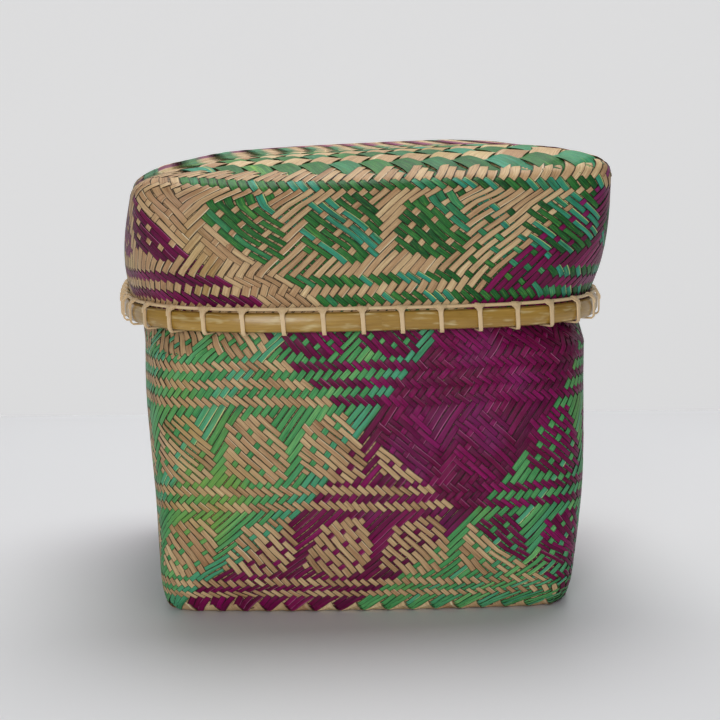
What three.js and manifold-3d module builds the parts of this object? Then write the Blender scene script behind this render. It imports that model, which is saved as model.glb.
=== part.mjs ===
// Woven bamboo box with a lid that slides down over it.
// The base and the lid are both plaited on the bias in two layers: a patterned outer weave over a
// plain lining. Each open rim is gripped by an outer and an inner split-bamboo hoop, and a length of
// cane is laid along the outer hoop and lashed round both hoops and both layers.
// Lengths are millimetres, +Z is up, the front is -Y, and the origin is the middle of the flat
// underside that the box rests on.

import * as THREE from 'three';
import { mergeVertices } from 'three/addons/utils/BufferGeometryUtils.js';
import Module from 'manifold-3d';

// Sizes that both halves share
const layGap = 0.3;
const weaveThickness = 1.2;
const liningThickness = 1.0;
const innerHoopThickness = 1.6;
const caneThickness = 0.8;
const caneWidth = 1.9;
const cordDiameter = 2.0;
const stitchLean = 1.2;

// Sizes of the base
const baseCollarHalfWidth = 110.2;
const baseCollarDrop = 1.2;
const baseBellyInset = 1.6;
const baseFootInset = 9.6;
const baseFootRadius = 4;
const baseHeight = 200;
const baseHoopThickness = 2.0;
const baseHoopHeight = 7.5;
const baseStitchPitch = 20;

// Sizes of the lid
const lidClearance = 0.6;
const lidSeatGap = 0.5;
const lidSkirtHeight = 67.6;
const lidBulge = 1.8;
const lidBulgeHeight = 29.5;
const lidFoldInset = 3.2;
const lidFrontCornerLift = 4;
const lidRearCornerDrop = 11;
const lidTopLean = 4;
const lidCrownRise = 14;
const lidHoopThickness = 3.0;
const lidHoopHeight = 9.4;
const lidStitchPitch = 17.8;

// The foot sits a little turned from the rim, as the photographed box does
const baseFootTurn = THREE.MathUtils.degToRad(-5);

// Shape shares: how far the corners reach, how the curves run, how the hoops end, and how far up
// to the collar the belly lies
const footCornerShare = 0.945;
const bellyCornerShare = 0.88;
const rimCornerShare = 0.81;
const foldCornerShare = 0.955;
const cornerLiftPower = 12;
const crownPower = 5.5;
const hoopEdgeShare = 0.3;
const scarfTipShare = 0.35;
const bellyHeightShare = 0.931;

// Steps of the curves, as counts and as shares of the runs that they divide
const stationsPerSide = 10;
const stationPower = 1.5;
const cordSides = 5;
const scarfSteps = 2;
const footArcShares = [0, 0.5, 1];
const lowerWallShares = [0.3, 0.65, 1];
const upperWallShares = [0.5, 1];
const lidWallShares = [0.3, 0.65];
const crownShares = [0, 0.05, 0.13, 0.26, 0.5];

// Plan curves
// Each plan is a rounded square. Its corner share says where the curve crosses the diagonal: 1 is a
// sharp square and about 0.71 is a circle.

const sideCount = 4;
const quarterTurn = Math.PI / 2;
const stationCount = sideCount * stationsPerSide;
const stationAngles = [];
for (let side = 0; side < sideCount; side += 1) {
  for (let step = 0; step < stationsPerSide; step += 1) {
    const swing = (2 * step) / stationsPerSide - 1;
    const bunched = Math.sign(swing) * Math.abs(swing) ** stationPower;
    stationAngles.push(quarterTurn * (side + (1 + bunched) / 2));
  }
}

function planReach(angle, halfWidth, cornerShare) {
  const power = Math.LN2 / Math.log(1 / cornerShare);
  const sum = Math.abs(Math.cos(angle)) ** power + Math.abs(Math.sin(angle)) ** power;
  return halfWidth / sum ** (1 / power);
}

function planRing(halfWidth, cornerShare, heightAt, turn = 0) {
  return stationAngles.map((angle) => {
    const reach = planReach(angle, halfWidth, cornerShare);
    const turned = angle + turn;
    return new THREE.Vector3(reach * Math.cos(turned), reach * Math.sin(turned), heightAt(angle));
  });
}

function level(height) {
  return () => height;
}

function blend(start, end, share) {
  return start + (end - start) * share;
}

// Lofted bodies
// A body is lofted through sections of the same number of points. Its ends are closed by fans, or
// it runs round to its first section again. A face that runs back along the stack that another one
// follows is split the other way, so that layers cut from one stack have their facets side by side.

function loftGeometry(sections, { runsRound = false, backwardBands = 0 } = {}) {
  const width = sections[0].length;
  const positions = sections.flat().flatMap((point) => point.toArray());
  const triangles = [];
  const bands = runsRound ? sections.length : sections.length - 1;
  for (let band = 0; band < bands; band += 1) {
    const here = band * width;
    const next = ((band + 1) % sections.length) * width;
    for (let side = 0; side < width; side += 1) {
      const turn = (side + 1) % width;
      if (band < backwardBands) {
        triangles.push(here + side, here + turn, next + side);
        triangles.push(here + turn, next + turn, next + side);
      } else {
        triangles.push(here + side, here + turn, next + turn);
        triangles.push(here + side, next + turn, next + side);
      }
    }
  }
  if (!runsRound) {
    closeEnd(positions, triangles, sections[0], 0, true);
    closeEnd(positions, triangles, sections[sections.length - 1], bands * width, false);
  }
  return facingOut(positions, triangles);
}

function closeEnd(positions, triangles, section, first, atStart) {
  const middle = section.reduce((sum, point) => sum.add(point), new THREE.Vector3());
  middle.divideScalar(section.length);
  const hub = positions.length / 3;
  positions.push(...middle.toArray());
  section.forEach((point, side) => {
    const here = first + side;
    const turn = first + ((side + 1) % section.length);
    triangles.push(hub, atStart ? turn : here, atStart ? here : turn);
  });
}

function facingOut(positions, triangles) {
  const corners = (face) => [0, 1, 2].map((corner) => {
    const start = 3 * triangles[3 * face + corner];
    return new THREE.Vector3(...positions.slice(start, start + 3));
  });
  let volume = 0;
  for (let face = 0; face < triangles.length / 3; face += 1) {
    const [a, b, c] = corners(face);
    volume += a.dot(b.cross(c));
  }
  const index = volume > 0 ? triangles : triangles.toReversed();
  const geometry = new THREE.BufferGeometry();
  geometry.setAttribute('position', new THREE.Float32BufferAttribute(positions, 3));
  geometry.setIndex(index);
  geometry.computeVertexNormals();
  return geometry;
}

// Skins
// The outer faces of the base and the lid are each a stack of rings, from the rim to a middle point.
// Every layer is that stack moved in along its own normals, so the layers nest with even gaps. The
// stack climbs from the lid's rim, inwards of 1, and goes down from the base's, inwards of -1.

function movedIn(rings, middle, distance, inwards) {
  return rings.map((ring, row) => ring.map((point, side) => {
    const before = ring[(side + stationCount - 1) % stationCount];
    const after = ring[(side + 1) % stationCount];
    const below = row === 0 ? point : rings[row - 1][side];
    const above = row === rings.length - 1 ? middle : rings[row + 1][side];
    const around = after.clone().sub(before);
    const across = above.clone().sub(below);
    const normal = around.cross(across).normalize();
    return point.clone().addScaledVector(normal, -inwards * distance);
  }));
}

function skinGeometry(skin, outerDepth, thickness) {
  const { rings, middle, inwards } = skin;
  const outer = movedIn(rings, middle, outerDepth, inwards);
  const inner = movedIn(rings, middle, outerDepth + thickness, inwards);
  const backwardBands = rings.length - 1;
  return loftGeometry([...outer.toReversed(), ...inner], { backwardBands });
}

// Rims
// A rim is described from its open edge inwards: offsets count out from the weave's outer face, and
// heights count from the edge towards the middle of its half of the box.

const liningDepth = weaveThickness + layGap;
const innerHoopDepth = liningDepth + liningThickness + layGap;
const innerLegDepth = innerHoopDepth + innerHoopThickness + layGap;
const innerReach = innerLegDepth + caneThickness;

function hoopBandHeight(hoopHeight) {
  return hoopHeight + layGap + cordDiameter + layGap;
}

function hoopStandout(hoopThickness) {
  return layGap + hoopThickness + layGap + caneThickness;
}

const baseRimHalfWidth = baseCollarHalfWidth - layGap - hoopStandout(baseHoopThickness);
const lidRimHalfWidth = baseCollarHalfWidth + lidClearance + innerReach;

const baseRim = {
  halfWidth: baseRimHalfWidth,
  edge: baseHeight,
  inwards: -1,
  hoopThickness: baseHoopThickness,
  hoopHeight: baseHoopHeight,
  stitchPitch: baseStitchPitch,
};

const lidRim = {
  halfWidth: lidRimHalfWidth,
  edge: 0,
  inwards: 1,
  hoopThickness: lidHoopThickness,
  hoopHeight: lidHoopHeight,
  stitchPitch: lidStitchPitch,
};

function rimTrack(rim) {
  const ring = planRing(rim.halfWidth, rimCornerShare, level(rim.edge));
  const outwards = ring.map((point, station) => {
    const before = ring[(station + stationCount - 1) % stationCount];
    const after = ring[(station + 1) % stationCount];
    return new THREE.Vector3(after.y - before.y, before.x - after.x, 0).normalize();
  });
  return { ring, outwards };
}

function chordAt(track, station) {
  const lower = Math.floor(station) % stationCount;
  return track.ring[(lower + 1) % stationCount].clone().sub(track.ring[lower]);
}

function rimPoint(rim, track, station, offset, height) {
  const lower = Math.floor(station);
  const share = station - lower;
  const ends = [lower, lower + 1].map((index) => {
    const corner = index % stationCount;
    return track.ring[corner].clone().addScaledVector(track.outwards[corner], offset);
  });
  const point = ends[0].lerp(ends[1], share);
  point.z += rim.inwards * height;
  return point;
}

// Hoops
// A hoop is one split-bamboo strip bent round the rim. Its two ends are pared down and lie over each
// other in a scarf in the middle of the back.

function hoopSection(rim, track, station, innerOffset, outerOffset, roundsOutwards) {
  const edge = (outerOffset - innerOffset) * hoopEdgeShare;
  const flat = roundsOutwards ? innerOffset : outerOffset;
  const crown = roundsOutwards ? outerOffset : innerOffset;
  const shoulder = roundsOutwards ? crown - edge : crown + edge;
  const outline = [
    [flat, 0],
    [shoulder, 0],
    [crown, edge],
    [crown, rim.hoopHeight - edge],
    [shoulder, rim.hoopHeight],
    [flat, rim.hoopHeight],
  ];
  return outline.map(([offset, height]) => rimPoint(rim, track, station, offset, height));
}

function hoopGeometry(rim, innerOffset, thickness, roundsOutwards) {
  const track = rimTrack(rim);
  const scarfStart = stationCount / sideCount + stationsPerSide / 2 - scarfSteps / 2;
  const gapShare = layGap / thickness;
  const sections = [];
  for (let step = 0; step <= stationCount + scarfSteps; step += 1) {
    const intoStart = Math.min(step / scarfSteps, 1);
    const intoEnd = (step - stationCount) / scarfSteps;
    const onStartTip = step <= scarfSteps;
    const onEndTip = step >= stationCount;
    const low = onEndTip ? blend(scarfTipShare, 1 - scarfTipShare, intoEnd) + gapShare : 0;
    const high = onStartTip ? blend(scarfTipShare, 1 - scarfTipShare, intoStart) : 1;
    const station = scarfStart + step;
    const from = innerOffset + low * thickness;
    const to = innerOffset + high * thickness;
    sections.push(hoopSection(rim, track, station, from, to, roundsOutwards));
  }
  return loftGeometry(sections);
}

// Lashing
// The cane cord lies on the hoop, against the weave. At each stitch a flat strand leaves it, goes
// down over the outer hoop, round the open edge and back up the inside, where it turns in to the lining.

const wasm = await Module();
wasm.setup();

function toSolid(geometry) {
  const bare = geometry.clone();
  bare.deleteAttribute('normal');
  const merged = mergeVertices(bare);
  return new wasm.Manifold(new wasm.Mesh({
    numProp: 3,
    vertProperties: new Float32Array(merged.attributes.position.array),
    triVerts: new Uint32Array(merged.index.array),
  }));
}

function fromSolid(solid) {
  const mesh = solid.getMesh();
  const geometry = new THREE.BufferGeometry();
  geometry.setAttribute('position', new THREE.BufferAttribute(mesh.vertProperties, 3));
  geometry.setIndex(new THREE.BufferAttribute(mesh.triVerts, 1));
  geometry.computeVertexNormals();
  return geometry;
}

function cordPlace(rim) {
  const radius = cordDiameter / 2;
  return { offset: layGap + radius, height: rim.hoopHeight + layGap + radius, radius };
}

function cordGeometry(rim, track) {
  const { offset, height, radius } = cordPlace(rim);
  const sections = stationAngles.map((angle, station) => {
    const section = [];
    for (let side = 0; side < cordSides; side += 1) {
      const turn = (2 * Math.PI * side) / cordSides;
      const out = offset + radius * Math.cos(turn);
      section.push(rimPoint(rim, track, station, out, height + radius * Math.sin(turn)));
    }
    return section;
  });
  return loftGeometry(sections, { runsRound: true });
}

function strandLine(rim) {
  const half = caneThickness / 2;
  const { offset, height } = cordPlace(rim);
  const outside = hoopStandout(rim.hoopThickness) - half;
  const under = layGap + half;
  const inside = innerLegDepth + half;
  const top = rim.hoopHeight + under;
  return [
    [offset, height],
    [outside, rim.hoopHeight],
    [outside, 0],
    [outside - caneThickness, -under],
    [caneThickness - inside, -under],
    [-inside, 0],
    [-inside, rim.hoopHeight],
    [-innerHoopDepth, top],
  ];
}

function strandGeometry(rim, track, station) {
  const points = strandLine(rim).map(([offset, height]) => {
    const lean = stitchLean * (1 - Math.max(height, 0) / cordPlace(rim).height);
    const leant = station + lean / chordAt(track, station).length();
    const along = chordAt(track, leant).normalize();
    return { base: rimPoint(rim, track, leant, offset, height), along, offset, height };
  });
  const sections = points.map(({ base, along }, index) => {
    const before = points[Math.max(index - 1, 0)];
    const after = points[Math.min(index + 1, points.length - 1)];
    const run = new THREE.Vector2(after.offset - before.offset, after.height - before.height);
    run.normalize();
    const thick = new THREE.Vector3(along.y * run.y, -along.x * run.y, -run.x * rim.inwards);
    thick.multiplyScalar(caneThickness / 2);
    const wide = along.clone().multiplyScalar(caneWidth / 2);
    return [[1, 1], [-1, 1], [-1, -1], [1, -1]].map(([side, face]) => (
      base.clone().addScaledVector(wide, side).addScaledVector(thick, face)
    ));
  });
  return loftGeometry(sections);
}

function stitchStations(rim, track) {
  const lengths = track.ring.map((point, station) => chordAt(track, station).length());
  const total = lengths.reduce((sum, length) => sum + length, 0);
  const count = sideCount * Math.round(total / rim.stitchPitch / sideCount);
  const stations = [];
  let passed = 0;
  lengths.forEach((length, station) => {
    while (stations.length < count && ((stations.length + 0.5) * total) / count < passed + length) {
      stations.push(station + (((stations.length + 0.5) * total) / count - passed) / length);
    }
    passed += length;
  });
  return stations;
}

function lashingGeometry(rim) {
  const track = rimTrack(rim);
  const strands = stitchStations(rim, track).map((station) => (
    toSolid(strandGeometry(rim, track, station))
  ));
  const cord = toSolid(cordGeometry(rim, track));
  return fromSolid(strands.reduce((whole, strand) => whole.add(strand), cord));
}

// Base
// The underside is flat and turns up round a small foot. The wall is squarest at the foot and swells
// to the belly. Just under the lid's edge it rounds off into the collar that the lid slides over,
// and it draws in again to the rim, so that the lashed rim is no wider than the collar.

const baseBellyHalfWidth = baseCollarHalfWidth - baseBellyInset;
const baseFootHalfWidth = baseCollarHalfWidth - baseFootInset;

function baseRings() {
  const bandBottom = baseHeight - hoopBandHeight(baseHoopHeight);
  const collarHeight = lidHeight - layGap - caneThickness - baseCollarDrop;
  const bellyHeight = collarHeight * bellyHeightShare;
  const rings = [
    planRing(baseRimHalfWidth, rimCornerShare, level(baseHeight)),
  ];
  upperWallShares.toReversed().forEach((share) => {
    const swell = (1 + Math.cos(Math.PI * share)) / 2;
    const halfWidth = blend(baseRimHalfWidth, baseCollarHalfWidth, swell);
    rings.push(planRing(halfWidth, rimCornerShare, level(blend(collarHeight, bandBottom, share))));
  });
  rings.push(planRing(baseCollarHalfWidth, rimCornerShare, level(collarHeight)));
  lowerWallShares.toReversed().forEach((share) => {
    const swell = Math.sin(quarterTurn * share);
    const halfWidth = blend(baseFootHalfWidth, baseBellyHalfWidth, swell);
    const corner = blend(footCornerShare, bellyCornerShare, share);
    const height = blend(baseFootRadius, bellyHeight, share);
    const turn = baseFootTurn * (1 - height / collarHeight);
    rings.push(planRing(halfWidth, corner, level(height), turn));
  });
  footArcShares.forEach((share) => {
    const sweep = quarterTurn * share;
    const halfWidth = baseFootHalfWidth - baseFootRadius * (1 - Math.cos(sweep));
    const height = baseFootRadius * (1 - Math.sin(sweep));
    rings.push(planRing(halfWidth, footCornerShare, level(height), baseFootTurn));
  });
  return rings;
}

const baseMiddle = new THREE.Vector3(0, 0, 0);

// Lid
// The skirt swells above its hoop and turns in to the fold. Over the fold the crown rises at once
// and levels out towards the middle. The top leans down to the left, the fold is pulled up into a
// point at both front corners, and both rear corners sag.

const lidBulgeHalfWidth = lidRimHalfWidth + lidBulge;
const lidFoldHalfWidth = lidRimHalfWidth - lidFoldInset;
const lidLayersDepth = liningDepth + liningThickness;

function cornerLift(angle) {
  const reached = Math.abs(Math.sin(2 * angle)) ** cornerLiftPower;
  return (Math.sin(angle) < 0 ? lidFrontCornerLift : -lidRearCornerDrop) * reached;
}

function topLean(angle, halfWidth, cornerShare) {
  const across = planReach(angle, halfWidth, cornerShare) * Math.cos(angle);
  return (lidTopLean * across) / lidFoldHalfWidth;
}

function crownShare(inset) {
  return 1 - (1 - inset / lidFoldHalfWidth) ** crownPower;
}

function crownHeight(inset, lift) {
  return blend(lidSkirtHeight + lift, lidSkirtHeight + lidCrownRise, crownShare(inset));
}

function lidWallHalfWidth(height) {
  const bandTop = hoopBandHeight(lidHoopHeight);
  if (height < lidBulgeHeight) {
    const share = (height - bandTop) / (lidBulgeHeight - bandTop);
    return blend(lidRimHalfWidth, lidBulgeHalfWidth, Math.sin(quarterTurn * share));
  }
  const share = (height - lidBulgeHeight) / (lidSkirtHeight - lidBulgeHeight);
  return blend(lidFoldHalfWidth, lidBulgeHalfWidth, Math.cos(quarterTurn * share));
}

function lidRings() {
  const bandTop = hoopBandHeight(lidHoopHeight);
  const rings = [
    planRing(lidRimHalfWidth, rimCornerShare, level(0)),
    planRing(lidRimHalfWidth, rimCornerShare, level(bandTop)),
  ];
  lidWallShares.forEach((share) => {
    const height = blend(bandTop, lidSkirtHeight, share);
    const corner = blend(rimCornerShare, foldCornerShare, share);
    const halfWidth = lidWallHalfWidth(height);
    const moved = (angle) => cornerLift(angle) + topLean(angle, halfWidth, corner);
    rings.push(planRing(halfWidth, corner, (angle) => height + moved(angle) * share ** 2));
  });
  crownShares.forEach((share) => {
    const inset = lidFoldHalfWidth * share;
    const halfWidth = lidFoldHalfWidth - inset;
    const lean = (angle) => topLean(angle, halfWidth, foldCornerShare);
    const height = (angle) => crownHeight(inset, cornerLift(angle)) + lean(angle);
    rings.push(planRing(halfWidth, foldCornerShare, height));
  });
  return rings;
}

const lidMiddle = new THREE.Vector3(0, 0, lidSkirtHeight + lidCrownRise);

// Seat
// The lining under the crown comes down on the lashing along the base's rim, at the lashing's outer
// face in the middle of the left side, where the top leans lowest.

function ceilingHeight(halfWidth) {
  const inset = lidFoldHalfWidth - halfWidth;
  const left = halfWidth / lidFoldHalfWidth;
  const slope = (lidCrownRise * crownPower * left ** (crownPower - 1)) / lidFoldHalfWidth;
  const lowest = crownHeight(inset, 0) - lidTopLean * left;
  return lowest - lidLayersDepth * Math.hypot(1, slope);
}

const baseLashingTop = baseHeight + layGap + caneThickness;
const baseLashingHalfWidth = baseRimHalfWidth + hoopStandout(baseHoopThickness) - caneThickness;
const lidHeight = baseLashingTop + lidSeatGap - ceilingHeight(baseLashingHalfWidth);

// Finishes
const dyedWeave = { color: 0x5f6b3a, roughness: 0.55, metalness: 0 };
const plainWeave = { color: 0xc2a878, roughness: 0.65, metalness: 0 };
const splitBamboo = { color: 0x8f8636, roughness: 0.32, metalness: 0 };
const paleCane = { color: 0xe6d9b4, roughness: 0.5, metalness: 0 };

function piece(name, geometry, finish) {
  const mesh = new THREE.Mesh(geometry, new THREE.MeshStandardMaterial(finish));
  mesh.name = name;
  return mesh;
}

function rimPieces(prefix, rim) {
  const outerHoop = hoopGeometry(rim, layGap, rim.hoopThickness, true);
  const innerOffset = -innerHoopDepth - innerHoopThickness;
  const innerHoop = hoopGeometry(rim, innerOffset, innerHoopThickness, false);
  return [
    piece(`${prefix}_outer_hoop`, outerHoop, splitBamboo),
    piece(`${prefix}_inner_hoop`, innerHoop, splitBamboo),
    piece(`${prefix}_lashing`, lashingGeometry(rim), paleCane),
  ];
}

function buildBase() {
  const skin = { rings: baseRings(), middle: baseMiddle, inwards: baseRim.inwards };
  const base = new THREE.Group();
  base.add(piece('base_basket', skinGeometry(skin, 0, weaveThickness), dyedWeave));
  base.add(piece('base_lining', skinGeometry(skin, liningDepth, liningThickness), plainWeave));
  base.add(...rimPieces('base', baseRim));
  return base;
}

function buildLid() {
  const skin = { rings: lidRings(), middle: lidMiddle, inwards: lidRim.inwards };
  const lid = new THREE.Group();
  lid.add(piece('lid_cover', skinGeometry(skin, 0, weaveThickness), dyedWeave));
  lid.add(piece('lid_lining', skinGeometry(skin, liningDepth, liningThickness), plainWeave));
  lid.add(...rimPieces('lid', lidRim));
  lid.position.z = lidHeight;
  return lid;
}

const wovenBox = new THREE.Group();
wovenBox.add(buildBase(), buildLid());

export default wovenBox;
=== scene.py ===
import math

import bpy
import numpy as np
from mathutils import Matrix, Vector


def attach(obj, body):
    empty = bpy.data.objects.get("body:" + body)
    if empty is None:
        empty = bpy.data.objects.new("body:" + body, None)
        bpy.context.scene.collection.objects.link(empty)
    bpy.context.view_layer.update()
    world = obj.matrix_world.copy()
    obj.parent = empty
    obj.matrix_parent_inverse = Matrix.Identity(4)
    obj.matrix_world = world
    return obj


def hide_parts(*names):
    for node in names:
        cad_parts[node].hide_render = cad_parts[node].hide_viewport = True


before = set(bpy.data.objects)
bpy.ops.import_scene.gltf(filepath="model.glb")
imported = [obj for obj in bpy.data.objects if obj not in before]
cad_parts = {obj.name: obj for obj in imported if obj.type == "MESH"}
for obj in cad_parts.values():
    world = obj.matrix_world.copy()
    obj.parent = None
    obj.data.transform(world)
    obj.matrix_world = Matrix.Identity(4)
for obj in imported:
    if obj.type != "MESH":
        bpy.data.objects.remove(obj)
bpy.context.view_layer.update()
bpy.ops.object.select_all(action="DESELECT")

# Sizes in millimetres, as in the part's source
metre = 0.001
lay_gap = 0.3
weave_thickness = 1.2
lining_thickness = 1.0
inner_hoop_thickness = 1.6
cane_thickness = 0.8
cord_diameter = 2.0
cane_width = 1.9
stitch_lean = 1.2
base_collar_half_width = 110.2
base_collar_drop = 1.2
base_belly_inset = 1.6
base_foot_inset = 9.6
base_foot_radius = 4.0
base_height = 200.0
base_hoop_thickness = 2.0
base_hoop_height = 7.5
base_stitch_pitch = 20.0
lid_clearance = 0.6
lid_seat_gap = 0.5
lid_skirt_height = 67.6
lid_bulge = 1.8
lid_bulge_height = 29.5
lid_fold_inset = 3.2
lid_front_corner_lift = 4.0
lid_rear_corner_drop = 11.0
lid_top_lean = 4.0
lid_crown_rise = 14.0
lid_hoop_thickness = 3.0
lid_hoop_height = 9.4
lid_stitch_pitch = 17.8
base_foot_turn = math.radians(-5)
foot_corner_share = 0.945
belly_corner_share = 0.88
rim_corner_share = 0.81
fold_corner_share = 0.955
corner_lift_power = 12
crown_power = 5.5
belly_height_share = 0.931

# Sizes worked out from those
lining_depth = weave_thickness + lay_gap
inner_hoop_depth = lining_depth + lining_thickness + lay_gap
inner_reach = inner_hoop_depth + inner_hoop_thickness + lay_gap + cane_thickness


def hoop_standout(thickness):
    return lay_gap + thickness + lay_gap + cane_thickness


def hoop_band_height(height):
    return height + lay_gap + cord_diameter + lay_gap


base_rim_half_width = base_collar_half_width - lay_gap - hoop_standout(base_hoop_thickness)
lid_rim_half_width = base_collar_half_width + lid_clearance + inner_reach
lid_bulge_half_width = lid_rim_half_width + lid_bulge
lid_fold_half_width = lid_rim_half_width - lid_fold_inset
base_foot_half_width = base_collar_half_width - base_foot_inset
base_belly_half_width = base_collar_half_width - base_belly_inset


def crown_height(inset, lift):
    share = 1 - np.clip(1 - inset / lid_fold_half_width, 0, 1) ** crown_power
    return (lid_skirt_height + lift) * (1 - share) + (lid_skirt_height + lid_crown_rise) * share


def ceiling_height(half_width):
    left = half_width / lid_fold_half_width
    slope = lid_crown_rise * crown_power * left ** (crown_power - 1) / lid_fold_half_width
    lowest = crown_height(lid_fold_half_width - half_width, 0) - lid_top_lean * left
    return lowest - (lining_depth + lining_thickness) * math.hypot(1, slope)


base_lashing_top = base_height + lay_gap + cane_thickness
base_lashing_half_width = base_rim_half_width + hoop_standout(base_hoop_thickness) - cane_thickness
lid_height = float(base_lashing_top + lid_seat_gap - ceiling_height(base_lashing_half_width))
collar_height = lid_height - lay_gap - cane_thickness - base_collar_drop
belly_height = collar_height * belly_height_share

# Plait: how many strips go round, and how its rows lie on the walls
# Rows are counted downwards. Row 0 is the middle row of a belt of ovals. A rising strip a and a
# falling strip b cross at row a - b, and (a + b) / 2 strips round from the middle of the front.
base_strips = 198
lid_strips = 180
strips_per_wide = 3
rows_per_side = 6
base_edge_row = 41.5
lid_edge_row = -10.0
base_row_heights = [
    (-57.3, 200.0), (-27, 136.9), (-19.5, 121.2), (-11.5, 104.6), (-1, 81.0), (8.5, 61.1),
    (12.5, 53.4), (23, 32.8), (32.5, 15.2), (36.5, 9.9), (39, 6.5), (41.5, 2.8),
]
lid_row_heights = [(-10, 67.6), (-0.85, 48.6), (10.5, 24.3), (14.5, 15.0), (21.2, 0.0)]
base_row_drift = [
    (-58, -5.0), (-23, -3.1), (-19, -2.7), (-15, -2.3), (-11, -1.8), (0, -0.45), (5, 0.0),
    (10, 0.5), (14, 0.75), (20, 1.0), (26, 0.8), (31, 0.3), (35, 0.0), (50, 0.0),
]
lid_row_drift = [(-60, 0.0), (0, 0.0), (22, 1.1)]
lid_round_drift = [
    (-30, 0.0), (-19, -0.7), (-12, -1.0), (-3, 0.0), (6, -0.85), (12, -0.4), (19, 0.0),
]
lid_round_drift_rows = [(-9, 0.0), (-6, 1.0), (9, 1.0), (14, 0.0)]

# How far the plait is pushed round near the foot's two front corners, by rows. Each corner's place
# and width are in turns round the base from the middle of the front.
right_foot_drift = [
    (20, 0.0), (24, 0.8), (28, 3.0), (32, 4.4), (35.5, 4.4), (38.5, 2.6), (41.5, 0.0),
]
right_foot_turns = 0.125
right_foot_width = 0.045
left_foot_drift = [(14, 0.0), (24, -1.0), (30, -1.5), (36, -1.3), (41.5, 0.0)]
left_foot_turns = -0.095
left_foot_width = 0.04

# The fold of the plait on the lid lies over or under the edge of its top, in rows, by turns round
lid_fold_slip = [
    (0.0, 0.7), (0.052, 1.4), (0.105, 3.7), (0.13, 4.0), (0.2, 1.8), (0.3, 0.0), (0.8, 0.0),
    (0.875, -1.3), (0.9, -1.3), (0.92, -0.8), (0.98, 0.5), (1.0, 0.7),
]
lid_fold_slip_rows = [(-34, 0.0), (lid_edge_row, 1.0), (6, 0.0)]

# Hand-made unevenness of the base: its foot stands a little to the right, with softened corners
foot_lean = 3.1
foot_lean_heights = (45.0, 115.0)
foot_corner_inset = 3.6
foot_corner_height = 16.0
foot_corner_power = 6
weave_foot_radius = 2.0

# The box's weight presses the strips of its underside flat below this height
press_height = 0.3
press_share = 0.25

# The lid's top droops a little at the left, and its rows are wider near its edge
top_droop = 1.6
top_droop_reach = 85.0
top_droop_insets = (8.0, 26.0)
top_row_stretch = 0.10


plan_samples = 1441


def plan_reach(angle, half_width, corner_share):
    power = math.log(2) / math.log(1 / corner_share)
    total = np.abs(np.cos(angle)) ** power + np.abs(np.sin(angle)) ** power
    return half_width / total ** (1 / power)


def ring_plan(half_width, corner_share, turn, turns):
    """Plan points that lie the given turns round a ring, from the middle of its front"""
    angle = np.linspace(-0.5 * math.pi, 1.5 * math.pi, plan_samples)
    reach = plan_reach(angle, half_width, corner_share)
    x = reach * np.cos(angle + turn)
    y = reach * np.sin(angle + turn)
    run = np.concatenate([[0], np.cumsum(np.hypot(np.diff(x), np.diff(y)))])
    share = run / run[-1]
    at = np.mod(turns, 1)
    return np.interp(at, share, x), np.interp(at, share, y), np.interp(at, share, angle)


def steps(value, pairs):
    places, values = zip(*pairs)
    return np.interp(value, places, values)


def mixed(start, end, share):
    return start + (end - start) * share


def way_share(value, start, end):
    """Share of the way from start to end that a value has come, from 0 to 1"""
    return np.clip((value - start) / (end - start), 0, 1)


# Skins: the outer faces of the base and of the lid, as grids of points

base_wide_reach = base_strips / strips_per_wide / 8
lid_wide_reach = lid_strips / strips_per_wide / 8
middle_corner_share = 0.999
least_reach_share = 0.002
edge_soft_rows = 5
base_edge_passes = 3
lid_edge_passes = 10
skin_row_step = 0.5
cap_spots_per_wide = 4


def foot_place(half_width):
    """Height of the rounded foot and the flat underside at a ring's half width"""
    flat = base_foot_half_width - weave_foot_radius
    over = min(max(half_width - flat, 0), weave_foot_radius)
    return weave_foot_radius - math.sqrt(weave_foot_radius ** 2 - over ** 2)


def base_ring(row):
    """Half width, corner share, turn and height of the base's outer face at a row"""
    band_bottom = base_height - hoop_band_height(base_hoop_height)
    if row > base_edge_row:
        inwards = (row - base_edge_row) / rows_per_side / base_wide_reach
        part = max(1 - inwards, least_reach_share)
        corner = mixed(middle_corner_share, foot_corner_share, part ** 4)
        half_width = base_foot_half_width * part
        return half_width, corner, base_foot_turn, foot_place(half_width)
    height = float(steps(row, base_row_heights))
    turn = base_foot_turn * (1 - height / collar_height)
    if height >= band_bottom:
        return base_rim_half_width, rim_corner_share, 0.0, height
    if height >= collar_height:
        share = (height - collar_height) / (band_bottom - collar_height)
        in_share = (1 + math.cos(math.pi * share)) / 2
        half_width = mixed(base_rim_half_width, base_collar_half_width, in_share)
        return half_width, rim_corner_share, 0.0, height
    if height >= belly_height:
        share = (height - belly_height) / (collar_height - belly_height)
        half_width = mixed(base_belly_half_width, base_collar_half_width, share)
        return half_width, mixed(belly_corner_share, rim_corner_share, share), turn, height
    share = max(height - base_foot_radius, 0) / (belly_height - base_foot_radius)
    swell = math.sin(math.pi / 2 * share)
    half_width = mixed(base_foot_half_width, base_belly_half_width, swell)
    return half_width, mixed(foot_corner_share, belly_corner_share, share), turn, height


def corner_lift(angle):
    reached = np.abs(np.sin(2 * angle)) ** corner_lift_power
    return np.where(np.sin(angle) < 0, lid_front_corner_lift, -lid_rear_corner_drop) * reached


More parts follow.
